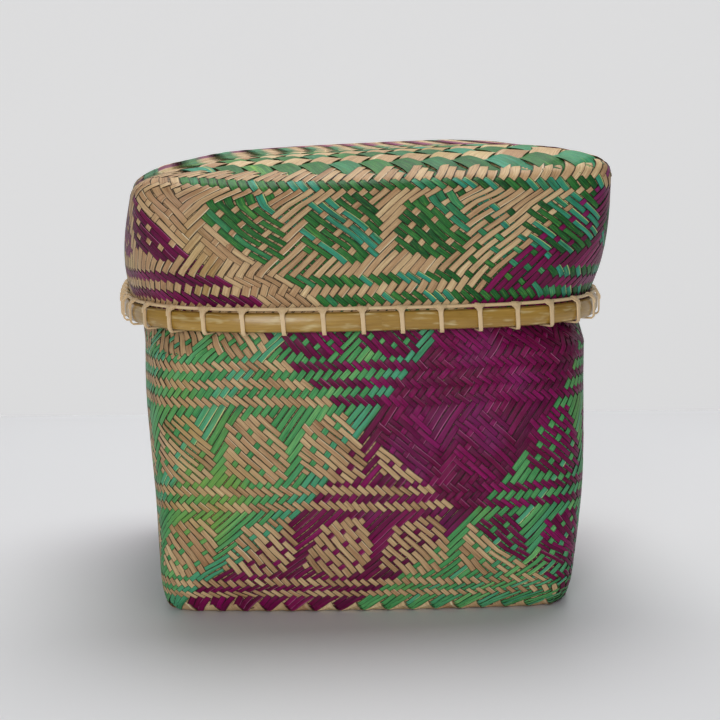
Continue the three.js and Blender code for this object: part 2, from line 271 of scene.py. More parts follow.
def lid_ring(row):
    """Half width, corner share, height and share of the top's lift of the lid's face at a row"""
    if row < lid_edge_row:
        inwards = (lid_edge_row - row) / rows_per_side / lid_wide_reach
        stretch = top_row_stretch * math.sin(math.pi * inwards)
        part = max(1 - inwards - stretch, least_reach_share)
        corner = mixed(middle_corner_share, fold_corner_share, part ** 4)
        return lid_fold_half_width * part, corner, None, 1.0
    height = float(steps(row, lid_row_heights))
    band_top = hoop_band_height(lid_hoop_height)
    if height <= band_top:
        return lid_rim_half_width, rim_corner_share, height, 0.0
    share = (height - band_top) / (lid_skirt_height - band_top)
    if height < lid_bulge_height:
        swell = math.sin(math.pi / 2 * (height - band_top) / (lid_bulge_height - band_top))
        half_width = mixed(lid_rim_half_width, lid_bulge_half_width, swell)
    else:
        over = (height - lid_bulge_height) / (lid_skirt_height - lid_bulge_height)
        half_width = mixed(lid_fold_half_width, lid_bulge_half_width, math.cos(math.pi / 2 * over))
    return half_width, mixed(rim_corner_share, fold_corner_share, share), height, share ** 2


def outward(places):
    """Unit normals of a grid of points whose first axis runs down and whose second runs round"""
    down = np.gradient(places, axis=0)
    round_ = np.gradient(places, axis=1)
    normal = np.cross(down, round_)
    length = np.linalg.norm(normal, axis=2, keepdims=True)
    return normal / np.maximum(length, 1e-9)


def base_ring_points(row, turns):
    half_width, corner, turn, height = base_ring(row)
    x, y, angle = ring_plan(half_width, corner, turn, turns)
    low = max(foot_corner_height - height, 0) / foot_corner_height
    part = min(half_width / base_foot_half_width, 1)
    at_corner = np.abs(np.sin(2 * angle)) ** foot_corner_power
    inset = foot_corner_inset * low ** 2 * part ** 2 * at_corner
    keep = 1 - inset / np.maximum(np.hypot(x, y), 1)
    down = way_share(height, foot_lean_heights[1], foot_lean_heights[0])
    lean = foot_lean * down ** 2 * (3 - 2 * down)
    return np.stack([x * keep + lean, y * keep, np.full_like(x, height)], axis=1)


def lid_ring_points(row, turns):
    half_width, corner, height, lifted = lid_ring(row)
    x, y, angle = ring_plan(half_width, corner, 0.0, turns)
    lean = lid_top_lean * x / lid_fold_half_width
    if height is None:
        inset = lid_fold_half_width - half_width
        droop = way_share(-x, 0, top_droop_reach) ** 2 * way_share(inset, *top_droop_insets)
        z = crown_height(inset, corner_lift(angle)) + lean - top_droop * droop
    else:
        z = height + (corner_lift(angle) + lean) * lifted
    return np.stack([x, y, z + lid_height], axis=1)


def softened(places, rows, middle, reach, passes):
    """Rounds a crease that lies along one row of a grid"""
    weight = 0.5 * np.clip(1.5 - 1.5 * np.abs(rows - middle) / reach, 0, 1)[1:-1, None, None]
    for _ in range(passes):
        beside = (places[2:] + places[:-2]) / 2
        places[1:-1] += weight * (beside - places[1:-1])
    return places


def slipped(places, rows, slips):
    """Moves the rows of a grid up or down its surface by a number of rows at each point"""
    moved = np.empty_like(places)
    for column in range(places.shape[1]):
        at = rows + slips[:, column]
        for axis in range(3):
            moved[:, column, axis] = np.interp(at, rows, places[:, column, axis])
    return moved


def skin(rows, columns, ring_points, edge_row, passes, slips=None):
    """Grid of the face of the base or the lid, with its edge softened and its fold slipped"""
    turns = np.arange(-2, columns + 3) / columns
    places = np.array([ring_points(row, turns) for row in rows])
    places = softened(places, rows, edge_row, edge_soft_rows, passes)
    if slips:
        round_slip = steps(np.mod(turns, 1), slips)
        fade = steps(rows, lid_fold_slip_rows)
        places = slipped(places, rows, fade[:, None] * round_slip[None, :])
    return {"rows": rows, "columns": columns, "places": places, "out": outward(places)}


def cap_grid(reach, wall, edge_row, facing):
    """Grid over the lid's top or the base's underside, in wide strips from its middle"""
    count = int(round(2 * reach * cap_spots_per_wide)) + 1
    spots = np.linspace(-reach, reach, count)
    across, back = np.meshgrid(spots, spots)
    size = np.maximum(np.maximum(np.abs(across), np.abs(back)), 1e-6)
    side = np.select(
        [(-back >= size - 1e-9), (across >= size - 1e-9), (back >= size - 1e-9)], [0, 1, 2], 3
    )
    along = np.select([side == 0, side == 1, side == 2], [across, back, -across], -back)
    turns = (side + along / size / 2) / 4
    inwards = 1 if edge_row > 0 else -1
    places, _ = on_wall(wall, turns, edge_row + inwards * (reach - size) * rows_per_side)
    return {"reach": reach, "count": count, "places": places, "out": outward(places) * facing}


def on_wall(wall, turns, row):
    """Places and outward normals at turns round and rows down a wall"""
    rows = wall["rows"]
    level = np.clip((row - rows[0]) / (rows[1] - rows[0]), 0, len(rows) - 1.001)
    column = np.mod(turns, 1) * wall["columns"] + 2
    return between(wall, level, column)


def on_cap(cap, across, back):
    step = (cap["count"] - 1) / (2 * cap["reach"])
    level = np.clip((back + cap["reach"]) * step, 0, cap["count"] - 1.001)
    column = np.clip((across + cap["reach"]) * step, 0, cap["count"] - 1.001)
    return between(cap, level, column)


def between(surface, level, column):
    low = np.floor(level).astype(int)
    left = np.floor(column).astype(int)
    down = (level - low)[..., None]
    over = (column - left)[..., None]
    found = []
    for key in ("places", "out"):
        grid = surface[key]
        upper = grid[low, left] * (1 - over) + grid[low, left + 1] * over
        lower = grid[low + 1, left] * (1 - over) + grid[low + 1, left + 1] * over
        found.append(upper * (1 - down) + lower * down)
    found[1] /= np.maximum(np.linalg.norm(found[1], axis=-1, keepdims=True), 1e-9)
    return found


base_last_row = base_edge_row + base_wide_reach * rows_per_side
lid_first_row = lid_edge_row - lid_wide_reach * rows_per_side
base_rows = np.arange(-58, base_last_row + 0.01, skin_row_step)
lid_rows = np.arange(lid_first_row, 22.01, skin_row_step)
base_wall = skin(base_rows, base_strips * 2, base_ring_points, base_edge_row, base_edge_passes)
lid_wall = skin(
    lid_rows, lid_strips * 2, lid_ring_points, lid_edge_row, lid_edge_passes, lid_fold_slip)

# Facts of the two weaves. A weave's cap is the lid's top or the base's underside. The cap's wide
# strips end at the falling or the rising reach from its middle, where narrow strips hide them.
# Rows near the still row keep to their places, and rim_row is where the lining ends.
weaves = {
    "base": {
        "wall": base_wall, "cap": cap_grid(base_wide_reach, base_wall, base_edge_row, 1),
        "reach": base_wide_reach, "edge_row": base_edge_row, "down": -1, "strips": base_strips,
        "cad_node": "base_basket", "rim_row": -55.2, "falling_reach": base_wide_reach + 0.45,
        "rising_reach": base_wide_reach - 0.22, "wide_depth": 0.86, "cap_name": "underside",
        "still_row": base_edge_row, "wave_start": 0.0,
    },
    "lid": {
        "wall": lid_wall, "cap": cap_grid(lid_wide_reach, lid_wall, lid_edge_row, -1),
        "reach": lid_wide_reach, "edge_row": lid_edge_row, "down": 1, "strips": lid_strips,
        "cad_node": "lid_cover", "rim_row": 19.3, "falling_reach": lid_wide_reach - 0.42,
        "rising_reach": lid_wide_reach - 0.92, "wide_depth": 0.72, "cap_name": "top",
        "still_row": lid_edge_row - 2, "wave_start": 2.0,
    },
}

# Pattern: where the falling strips come on top of the rising ones

oval_rows = {0: (-5, 6), 1: (-4, 5), 2: (-4, 5), 3: (-3, 4), 4: (-3, 3), 5: (-2, 1)}
oval_dots = {0: (-3, 4), 1: (0,), 2: (-2, 3), 3: (1,), 4: (-1,)}
loose_dots = {6: (-1,)}
oval_pitch = 9
oval_middle = 0.75
belt_rows = (-10, 8)

# Wide gap between two ovals: its places round the lid, its rows, its lines of dots, and the rows
# below it that stay plain
gap_round = (7.6, 17)
gap_rows = (-7, 14)
gap_lines = (32, 37, 43, 48, 53)
gap_plain_rows = (10, 11)


def in_oval(rising, falling):
    """Whether a crossing, counted from the middle of an oval, has the falling strip on top"""
    line = abs(falling - 1)
    if line in loose_dots:
        return rising in loose_dots[line]
    if line not in oval_rows:
        return False
    low, high = oval_rows[line]
    return low <= rising <= high and rising not in oval_dots.get(line, ())


def nearest_oval(round_, plan):
    """Start of the oval nearest to a place round the box"""
    half = plan["count"] / 2
    off = [(start + oval_middle - round_ + half) % (2 * half) - half for start in plan["ovals"]]
    nearest = min(off, key=abs)
    return round(nearest + round_ - oval_middle)


def in_gap(rising, falling, plan):
    """Whether a crossing lies in a wide gap between two ovals of the lid, and is a dot there"""
    row = rising - falling
    half = plan["count"] / 2
    for shift in plan["gaps"]:
        round_ = ((rising + falling) / 2 - shift + half) % (2 * half) - half
        if gap_round[0] < round_ < gap_round[1] and gap_rows[0] < row < gap_rows[1]:
            return True, round(3 * round_ + row / 2) in gap_lines
    return False, False


def falling_on_top(rising, falling, plan):
    """Whether the falling strip is on top at a crossing"""
    row = rising - falling
    if plan["gaps"]:
        inside, dot = in_gap(rising, falling, plan)
        if inside and (dot or row in gap_plain_rows):
            return dot
    if row in plan["bands"]:
        return True
    for belt in plan["belts"]:
        if belt_rows[0] < row - belt < belt_rows[1]:
            start = nearest_oval((rising + falling) / 2, plan)
            return in_oval(rising - start - belt // 2, falling - start + belt // 2)
    return False


def band_rows(*first_rows):
    """Rows of the bands of short stitches, each two rows deep"""
    return {row + step for row in first_rows for step in (0, 1)}


base_plan = {
    "bands": band_rows(-44, -40, -20, -16, -12, 8, 12, 32, 36),
    "belts": (-52, -28, 0, 24),
    "ovals": [oval_pitch * step - 5 for step in range(22)],
    "gaps": (),
    "count": base_strips,
}
lid_plan = {
    "bands": band_rows(-11, 10, 14, 18),
    "belts": (0,),
    "ovals": [5 - oval_pitch * step for step in range(11)] + [
        18 + oval_pitch * step for step in range(8)],
    "gaps": (0, 76),
    "count": lid_strips,
}


def dye(strip, blocks, count):
    """Dye of a numbered strip, from the blocks' first strips"""
    number = (strip - blocks[0][0]) % count + blocks[0][0]
    name = blocks[0][1]
    for first, block_name in blocks:
        if number >= first:
            name = block_name
    return name


base_rising_dyes = [
    (-2, "purple"), (19, "green"), (64, "purple"), (85, "green"), (130, "purple"), (151, "green"),
]
base_falling_dyes = [(3, "purple"), (51, "natural"), (102, "purple"), (150, "natural")]
lid_rising_dyes = [
    (-72, "green"), (-30, "natural"), (17, "purple"), (39, "green"), (63, "natural"),
    (66, "purple"), (87, "natural"),
]
lid_falling_dyes = [
    (-62, "natural"), (-41, "purple"), (-20, "natural"), (-14, "green"), (28, "natural"),
    (73, "green"), (97, "purple"), (118, "natural"),
]
narrow_dyes = {
    ("base", True): base_rising_dyes, ("base", False): base_falling_dyes,
    ("lid", True): lid_rising_dyes, ("lid", False): lid_falling_dyes,
}

# Narrow strips
narrow_depth = 0.62
narrow_rise = 0.24
narrow_rise_shares = (0.85, 1.15)
strip_thickness = 0.36
step_share = 0.16
least_narrow_fill_share = 0.90
sway_width = 0.13
wobble_width = 0.03
fold_fade_rows = 6
lively_tint = 0.85
own_shade_share = 0.45
own_tint_share = 0.25
base_narrow_rows = (-56, 44)
base_wide_span = 39
lid_narrow_rows = (-17, 20)

# The three strips of a wide one draw together over these rows, by a share of their spacing
base_bunch_rows = (37.5, 41.5)
base_bunch_share = 0.34
lid_bunch_rows = (-11, -14)
lid_bunch_share = 0.14

# Over these rows the lid's rising strips grow wider, and further on they dive under the wide ones
lid_widening_rows = (-11.5, -13.5)
lid_widening_share = 0.1
lid_dive_start = 8.8
lid_dive_length = 0.6
lid_dive_depth = 0.5

# Where the draws of chance start
narrow_seed = 11
wide_seed = 31
lining_seed = 51
strand_seed = 77

# Parts of a strip's row in the map for the bake: its four faces, and the faces at its two ends
bake_bands = [(0.02, 0.60), (0.63, 0.70), (0.73, 0.90), (0.93, 0.985)]
bake_margin_share = 0.004
bake_run_share = 0.975
bake_end_band = (0.02, 0.3)
bake_end_lefts = (0.982, 0.991)
bake_end_width = 0.006

# Waves of unevenness: height, number of waves round, and change of angle with each row
side_waves = [(0.14, 7, 0.21), (0.10, 17, -0.11), (0.07, 29, 0.37)]
sink_waves = [(0.26, 5, 0.0), (0.18, 13, 0.08), (0.09, 31, -0.23)]


def stations(tops, finely):
    """Places along one strip, in crossings, and the height at each: 1 on top and -1 beneath"""
    places = []
    heights = []
    start = 0
    while start < len(tops):
        end = start
        while end + 1 < len(tops) and tops[end + 1] == tops[start]:
            end += 1
        height = 1.0 if tops[start] else -1.0
        first = start - 0.5 + step_share
        last = end + 0.5 - step_share
        inner = end - start + 1 if finely else int((end - start) // 2)
        spots = np.linspace(first, last, 2 + inner)
        places.extend(spots)
        heights.extend([height] * len(spots))
        start = end + 1
    return np.array(places), np.array(heights)


def waved(angle, row, waves, starts):
    total = 0
    for (high, count, change), start in zip(waves, starts):
        total = total + high * np.sin(count * angle + change * row + start)
    return total


def warp(turns, row, start):
    """Small unevenness of hand plaiting, in strips round and rows down"""
    angle = 2 * math.pi * turns
    side = waved(angle, row, side_waves, (start, 0, 2 * start))
    sink = waved(angle, row, sink_waves, (0.9 + start, start, 0))
    return side, sink


def drifted(round_, row, body):
    """Turns round the box of a place in the plait"""
    if body == "lid":
        near = np.mod(round_ + lid_strips / 2, lid_strips) - lid_strips / 2
        side = steps(near, lid_round_drift) * steps(row, lid_round_drift_rows)
        return (round_ + steps(row, lid_row_drift) + side) / lid_strips
    plain = (round_ + steps(row, base_row_drift)) / base_strips
    turns = np.mod(plain + 0.5, 1) - 0.5
    at_right = np.exp(-((turns - right_foot_turns) / right_foot_width) ** 2)
    at_left = np.exp(-((turns - left_foot_turns) / left_foot_width) ** 2)
    side = at_right * steps(row, right_foot_drift) + at_left * steps(row, left_foot_drift)
    return plain + side / base_strips


def group_start(number, shift):
    """Lowest number, once shifted, of the three narrow strips that run on as one wide strip"""
    return strips_per_wide * ((number + shift) // strips_per_wide)


def base_strip_rows(number, rises):
    """Rows of a base strip's crossings from the rim down, and whether it is on top at each"""
    rows = []
    tops = []
    for row in range(*base_narrow_rows):
        if rises:
            falling = number - row
            last = group_start(number, -1) - base_wide_span
            if falling < last - 1:
                break
            top = falling >= last and not falling_on_top(number, falling, base_plan)
        else:
            rising = number + row
            if rising > group_start(number, 0) + base_wide_span + 2:
                break
            top = falling_on_top(rising, number, base_plan)
        rows.append(row)
        tops.append(top)
    return rows, tops


def lid_strip_rows(number, rises):
    """Rows of a lid strip's crossings from over the fold down to the rim, and where it is on top"""
    rows = []
    tops = []
    for row in range(*lid_narrow_rows):
        if rises:
            falling = number - row
            last = group_start(number, 6) + 9
            if falling > last + 1:
                continue
            top = falling <= last and not falling_on_top(number, falling, lid_plan)
        else:
            rising = number + row
            if rising < group_start(number, -4) - 8:
                continue
            top = falling_on_top(rising, number, lid_plan)
        rows.append(row)
        tops.append(top)
    return rows, tops


def strip_course(rows, tops, number, rises, finely):
    """Lattice course of one strip: how far round, which row, and its height"""
    places, heights = stations(tops, finely)
    row = rows[0] + places
    round_ = number - row / 2 if rises else number + row / 2
    return round_, row, heights


def bunched(round_, row, number, rises, body):
    """Draws the three rising strips of a wide one together where the wide strip begins"""
    if not rises:
        return round_
    if body == "base":
        off = number - (group_start(number, -1) + 2)
        return round_ - off * base_bunch_share * way_share(row, *base_bunch_rows)
    off = number - (group_start(number, 6) - 5)
    return round_ - off * lid_bunch_share * way_share(row, *lid_bunch_rows)


def narrow_ribbons(body, rises, wanted):
    """Ribbons of all narrow strips of one body, direction and dye"""
    weave = weaves[body]
    count = weave["strips"]
    dyes = narrow_dyes[(body, rises)]
    strip_rows = base_strip_rows if body == "base" else lid_strip_rows
    lid_rises = body == "lid" and rises
    rng = np.random.default_rng(narrow_seed + 2 * rises + (body == "lid"))
    group_looks = rng.random((count // strips_per_wide + 2, 2))
    ribbons = []
    for number in range(count):
        fill, sway, wobble, shade, tint, lift = rng.random(6)
        if dye(number, dyes, count) != wanted:
            continue
        rows, tops = strip_rows(number, rises)
        round_, row, heights = strip_course(rows, tops, number, rises, body == "lid")
        round_ = bunched(round_, row, number, rises, body)
        round_ = round_ + sway_width * (sway - 0.5)
        round_ = round_ + wobble_width * np.sin(0.5 * row + 9 * wobble)
        plain_turns = drifted(round_, row, body)
        side, sink = warp(plain_turns, row, weave["wave_start"])
        uneven = 1 - np.clip(1 - np.abs(row - weave["still_row"]) / fold_fade_rows, 0, 1)
        group = (number + (2 if rises else 3)) // strips_per_wide
        shade = mixed(group_looks[group, 0], shade, own_shade_share)
        if tint <= lively_tint:
            tint = mixed(group_looks[group, 1], tint, own_tint_share)
        fill_share = mixed(least_narrow_fill_share, 1.0, fill)
        height = heights * narrow_rise * mixed(*narrow_rise_shares, lift)
        if lid_rises:
            fill_share = fill_share + lid_widening_share * way_share(row, *lid_widening_rows)
            dive = (number - row - group_start(number, 6) - lid_dive_start) / lid_dive_length
            height = height - lid_dive_depth * np.clip(dive, 0, 1)
        ribbons.append({
            "turns": plain_turns + side * uneven / count, "row": row + sink * uneven,
            "height": height, "depth": narrow_depth, "fill": np.full(len(row), 1.0) * fill_share,
            "unit": 1 / count, "wall": weave["wall"], "shade": shade, "tint": tint,
            "thickness": strip_thickness,
        })
    return ribbons


def ribbon_points(ribbon):
    """Middle line, sideways directions, normals and widths of a ribbon"""
    if "wall" in ribbon:
        place, out = on_wall(ribbon["wall"], ribbon["turns"], ribbon["row"])
        beside, _ = on_wall(ribbon["wall"], ribbon["turns"] + ribbon["unit"], ribbon["row"])
    else:
        place, out, beside = ribbon["place"], ribbon["out"], ribbon["beside"]
    middle = place + out * (ribbon["height"] - ribbon["depth"])[:, None]
    along = np.gradient(place, axis=0)
    along /= np.linalg.norm(along, axis=1, keepdims=True)
    sideways = np.cross(along, out)
    sideways /= np.linalg.norm(sideways, axis=1, keepdims=True)
    spacing = np.abs(np.einsum("ij,ij->i", beside - place, sideways))
    return middle, sideways, out, spacing * ribbon["fill"]


strip_map_scale = 0.1
strip_smooth_degrees = 38
ring_smooth_degrees = 40


def ribbon_mesh(name, ribbons):
    """One mesh of closed flat ribbons with a map along each strip and a map for the bake"""
    points = []
    quads = []
    strip_map = []
    shades = []
    bake_runs = []
    start = 0
    for ribbon in ribbons:
        middle, sideways, out, width = ribbon_points(ribbon)
        half = sideways * width[:, None] / 2
        up = out * ribbon["thickness"] / 2
        ring = np.stack([middle - half + up, middle + half + up,
                         middle + half - up, middle - half - up], axis=1)
        count = len(middle)
        points.append(ring.reshape(-1, 3))
        run = np.concatenate([[0], np.cumsum(np.linalg.norm(np.diff(middle, axis=0), axis=1))])
        strip_map.append(np.stack([
            np.repeat(run, 4) * strip_map_scale, np.tile([0.0, 1.0, 1.0, 0.0], count)], axis=1))
        shades.append(np.tile([ribbon["shade"], ribbon["tint"]], (count * 4, 1)))
        first = start + 4 * np.arange(count - 1)
        for edge in range(4):
            after = (edge + 1) % 4
            quads.append(np.stack([first + edge, first + after,
                                   first + 4 + after, first + 4 + edge], axis=1))
        last = start + 4 * (count - 1)
        quads.append(np.array([[start, start + 3, start + 2, start + 1],
                               [last, last + 1, last + 2, last + 3]]))
        bake_runs.append(run / run[-1])
        start += 4 * count
    points = np.concatenate(points)
    pressed = press_height + press_share * (points[:, 2] - press_height)
    points[:, 2] = np.where(points[:, 2] < press_height, pressed, points[:, 2])
    points = points * metre
    quads = np.concatenate(quads)
    mesh = bpy.data.meshes.new(name)
    mesh.vertices.add(len(points))
    mesh.vertices.foreach_set("co", points.ravel())
    mesh.loops.add(quads.size)
    mesh.loops.foreach_set("vertex_index", quads.ravel().astype(np.int32))
    mesh.polygons.add(len(quads))
    mesh.polygons.foreach_set("loop_start", np.arange(0, quads.size, 4, dtype=np.int32))
    mesh.update(calc_edges=True)
    strip_map = np.concatenate(strip_map)
    layer = mesh.uv_layers.new(name="Strip")
    layer.data.foreach_set("uv", strip_map[quads.ravel()].ravel())
    bake = mesh.uv_layers.new(name="OFBake")
    bake.data.foreach_set("uv", bake_places(bake_runs).ravel())
    mesh.uv_layers.active = layer
    layer.active_render = True
    shades = np.concatenate(shades)
    for index, attribute_name in enumerate(("shade", "tint")):
        attribute = mesh.attributes.new(attribute_name, "FLOAT", "POINT")
        attribute.data.foreach_set("value", shades[:, index].astype(np.float32))
    mesh.validate()
    piece = bpy.data.objects.new(name, mesh)
    bpy.context.scene.collection.objects.link(piece)
    smooth(piece, strip_smooth_degrees)
    return piece


def bake_places(runs):
    """Map for the bake: a row for each strip, and a part of that row for each of its faces"""
    height = 1 / len(runs)
    corners = []
    for index, run in enumerate(runs):
        low = index * height
        along = bake_margin_share + bake_run_share * run
        start = along[:-1]
        end = along[1:]
        for band_low, band_high in bake_bands:
            near = np.full(len(start), low + band_low * height)
            far = np.full(len(start), low + band_high * height)
            quad = np.stack([
                np.stack([start, near], 1), np.stack([start, far], 1),
                np.stack([end, far], 1), np.stack([end, near], 1)], axis=1)
            corners.append(quad.reshape(-1, 2))
        near, far = [low + part * height for part in bake_end_band]
        for left in bake_end_lefts:
            over = left + bake_end_width
            corners.append(np.array([(left, near), (left, far), (over, far), (over, near)]))
    return np.concatenate(corners)


def smooth(piece, angle):
    bpy.ops.object.select_all(action="DESELECT")
    piece.select_set(True)
    bpy.context.view_layer.objects.active = piece
    bpy.ops.object.shade_smooth_by_angle(angle=math.radians(angle))
    piece.select_set(False)


# Wide strips
# A wide strip runs straight over the lid's top or the base's underside, on a line where the two
# plan counts add up to one number (sum lines) or differ by one (difference lines).

outer_look = {
    "per_crossing": 6, "rise": 0.62, "fill": 0.99, "thickness": 0.4, "square": 2.2,
}
lining_look = {
    "per_crossing": 2, "rise": 0.22, "depth": lining_depth + lining_thickness / 2, "fill": 0.97,
    "thickness": 0.4, "square": 2.2,
}
shortest_wide_strip = 0.6
least_wide_fill_share = 0.96
# The wide strips' tone is drawn no lower than this: painted light that makes the lid's top look lit
# from above, and lightens the underside and the lining as well
least_wide_shade_painted_light = 0.3


def line_sides(line, adds):
    """The two walls that a line joins: 0 front, 1 right, 2 rear and 3 left"""
    if adds:
        return (3, 0) if line < 0 else (2, 1)
    return (0, 1) if line > 0 else (3, 2)


def side_course(line, adds, side, outs):
    """How far along its side a line lies at each reach outwards from the middle"""
    sum_signs = {0: (1, 1), 1: (1, -1), 2: (-1, 1), 3: (-1, -1)}
    difference_signs = {0: (1, -1), 1: (-1, 1), 2: (-1, -1), 3: (1, 1)}
    line_sign, out_sign = (sum_signs if adds else difference_signs)[side]
    return line_sign * line + out_sign * outs


def wide_ribbon(body, line, adds, reach_first, reach_last, rng, look):
    """One wide strip from one wall over the cap to another wall"""
    weave = weaves[body]
    wall = weave["wall"]
    cap = weave["cap"]
    reach = weave["reach"]
    sides = line_sides(line, adds)
    step = 0.5 / look["per_crossing"]
    cap_length = 2 * reach - abs(line)
    first_out = reach_first - reach
    last_out = reach_last - reach
    total = first_out + cap_length + last_out
    count = max(int(round(total / step)), 4) + 1
    walk = np.linspace(-first_out, cap_length + last_out, count)
    place = np.zeros((count, 3))
    out = np.zeros((count, 3))
    beside = np.zeros((count, 3))
    on_first = walk < 0
    on_last = walk > cap_length
    middle = ~(on_first | on_last)
    for mask, side, outs in (
        (on_first, sides[0], reach - walk), (on_last, sides[1], reach + walk - cap_length)):
        if not mask.any():
            continue
        along = side_course(line, adds, side, outs[mask])
        turns = (side + along / (2 * reach)) / 4
        row = weave["edge_row"] + weave["down"] * (outs[mask] - reach) * rows_per_side
        place[mask], out[mask] = on_wall(wall, turns, row)
        beside[mask], _ = on_wall(wall, turns + 1 / (8 * reach), row)
    start_across, start_back = cap_start(line, adds, sides[0], reach)
    across = start_across + walk[middle]
    back = start_back + (-walk[middle] if adds else walk[middle])
    place[middle], out[middle] = on_cap(cap, across, back)
    shifted, _ = on_cap(cap, across + 0.25, back)
    inside, _ = on_cap(cap, across - 0.25, back)
    beside[middle] = place[middle] + (shifted - inside) * 2
    wave = np.cos(math.pi * crossing_phase(line, adds, start_across + walk))
    wave = np.tanh(look["square"] * wave) / math.tanh(look["square"])
    shade, tint, fill = rng.random(3)
    return {
        "place": place, "out": out, "beside": beside, "height": wave * look["rise"],
        "depth": look["depth"], "thickness": look["thickness"],
        "fill": np.full(count, look["fill"] * mixed(least_wide_fill_share, 1.0, fill)),
        # Raised floor of the shade: painted light on the wide strips
        "shade": mixed(least_wide_shade_painted_light, 1.0, shade), "tint": 1 + 0.99 * tint,
    }


def cap_start(line, adds, side, reach):
    """Where a line comes on to the cap, on its first side"""
    if adds:
        return (-reach, line + reach) if side == 3 else (line - reach, reach)
    return (line - reach, -reach) if side == 0 else (-reach, -reach - line)


def crossing_phase(line, adds, across):
    """Even numbers where the strip is on top of the one that it crosses, odd ones beneath"""
    other = 2 * across - line
    return line - other - 1 if adds else other - line


def end_reach(body, adds, side):
    """How far out a wide strip runs before the narrow ones hide its end"""
    falls = (side in (0, 2)) == (adds == (body == "lid"))
    return weaves[body]["falling_reach" if falls else "rising_reach"]


def wide_lines(body):
    count = int(2 * weaves[body]["reach"])
    return [k + 0.5 for k in range(-count, count)]


def top_dye(line, adds):
    """Dye of a wide strip on the lid's top"""
    if adds and line < 0:
        return "natural" if line < -14 else "green"
    if adds:
        return "purple" if line < 7 else "green"
    return "purple" if -9 < line < -6 else "natural"


def underside_dye(line, adds):
    """Dye of a wide strip under the base, that of its falling end"""
    reach = base_wide_reach
    side = [s for s in line_sides(line, adds) if (s in (0, 2)) == (not adds)][0]
    along = side_course(line, adds, side, reach)
    falling = round(strips_per_wide * (along + 2 * reach * side) - base_edge_row / 2)
    return dye(falling, base_falling_dyes, base_strips)


def wide_ribbons(body, wanted, seed):
    """Ribbons of the wide strips of one body's cap that have one dye"""
    weave = weaves[body]
    look = dict(outer_look, depth=weave["wide_depth"])
    rng = np.random.default_rng(seed)
    ribbons = []
    for adds in (True, False):
        for line in wide_lines(body):
            strip_seed = int(1000 * rng.random()) + 7
            found = top_dye(line, adds) if body == "lid" else underside_dye(line, adds)
            if found != wanted or 2 * weave["reach"] - abs(line) < shortest_wide_strip:
                continue
            first, last = [end_reach(body, adds, side) for side in line_sides(line, adds)]
            strip_rng = np.random.default_rng(strip_seed)
            ribbons.append(wide_ribbon(body, line, adds, first, last, strip_rng, look))
    return ribbons


def lining_ribbons(body, seed):
    """Ribbons of the plain inner weave of one body, from its rim over the cap to its rim"""
    weave = weaves[body]
    rim_reach = weave["reach"] + abs(weave["rim_row"] - weave["edge_row"]) / rows_per_side
    rng = np.random.default_rng(seed)
    return [
        wide_ribbon(body, line, adds, rim_reach, rim_reach, rng, lining_look)
        for adds in (True, False) for line in wide_lines(body)
    ]


# Finishes

def new_material(name, rough, specular=0.35, coat=0.0, coat_rough=0.2):
    material = bpy.data.materials.new(name)
    material.use_nodes = True
    tree = material.node_tree
    shader = tree.nodes["Principled BSDF"]
    shader.inputs["Roughness"].default_value = rough
    shader.inputs["Specular IOR Level"].default_value = specular
    shader.inputs["Coat Weight"].default_value = coat
    shader.inputs["Coat Roughness"].default_value = coat_rough
    return material, tree, shader


def add(tree, kind, **settings):
    node = tree.nodes.new(kind)
    for key, value in settings.items():
        setattr(node, key, value)
    return node


def feed(tree, socket, value):
    if isinstance(value, (int, float)):
        socket.default_value = value
    elif isinstance(value, tuple):
        socket.default_value = value
    else:
        tree.links.new(value, socket)


def maths(tree, operation, first, second=0.0, third=0.0, clamp=False):
    node = add(tree, "ShaderNodeMath", operation=operation, use_clamp=clamp)
    for socket, value in zip(node.inputs, (first, second, third)):
        feed(tree, socket, value)
    return node.outputs[0]


def times(tree, first, second):
    return maths(tree, "MULTIPLY", first, second)


def scaled(tree, value, scale, start, clamp=False):
    return maths(tree, "MULTIPLY_ADD", value, scale, start, clamp)


def mix_colour(tree, share, first, second):
    node = add(tree, "ShaderNodeMix", data_type="RGBA")
    feed(tree, node.inputs["Factor"], share)
    feed(tree, node.inputs["A"], first)
    feed(tree, node.inputs["B"], second)
    return node.outputs["Result"]


def ramp(tree, share, stops):
    node = add(tree, "ShaderNodeValToRGB")
    elements = node.color_ramp.elements
    while len(elements) < len(stops):
        elements.new(0.5)
    for element, (place, colour) in zip(elements, stops):
        element.position = place
        element.color = colour
    feed(tree, node.inputs["Fac"], share)
    return node.outputs["Color"]


def noise(tree, vector, scale, detail):
    node = add(tree, "ShaderNodeTexNoise")
    node.inputs["Scale"].default_value = scale
    node.inputs["Detail"].default_value = detail
    node.inputs["Roughness"].default_value = 0.6
    feed(tree, node.inputs["Vector"], vector)
    return node.outputs["Fac"]


def grain(tree, along, across, detail, up=0.0):
    """Noise whose spots are as long and as wide as the scales of its coordinates make them"""
    node = add(tree, "ShaderNodeCombineXYZ")
    for socket, value in zip(node.inputs, (along, across, up)):
        feed(tree, socket, value)
    return noise(tree, node.outputs[0], 1.0, detail)


def strip_places(tree):
    """Places along and across a strip, from the piece's own map"""
    uv = add(tree, "ShaderNodeUVMap", uv_map="Strip")
    split = add(tree, "ShaderNodeSeparateXYZ")
    feed(tree, split.inputs[0], uv.outputs["UV"])
    return split.outputs[0], split.outputs[1]


def bumped(tree, shader, height, strength, distance):
    bump = add(tree, "ShaderNodeBump")
    bump.inputs["Strength"].default_value = strength
    bump.inputs["Distance"].default_value = distance
    feed(tree, bump.inputs["Height"], height)
    feed(tree, shader.inputs["Normal"], bump.outputs["Normal"])


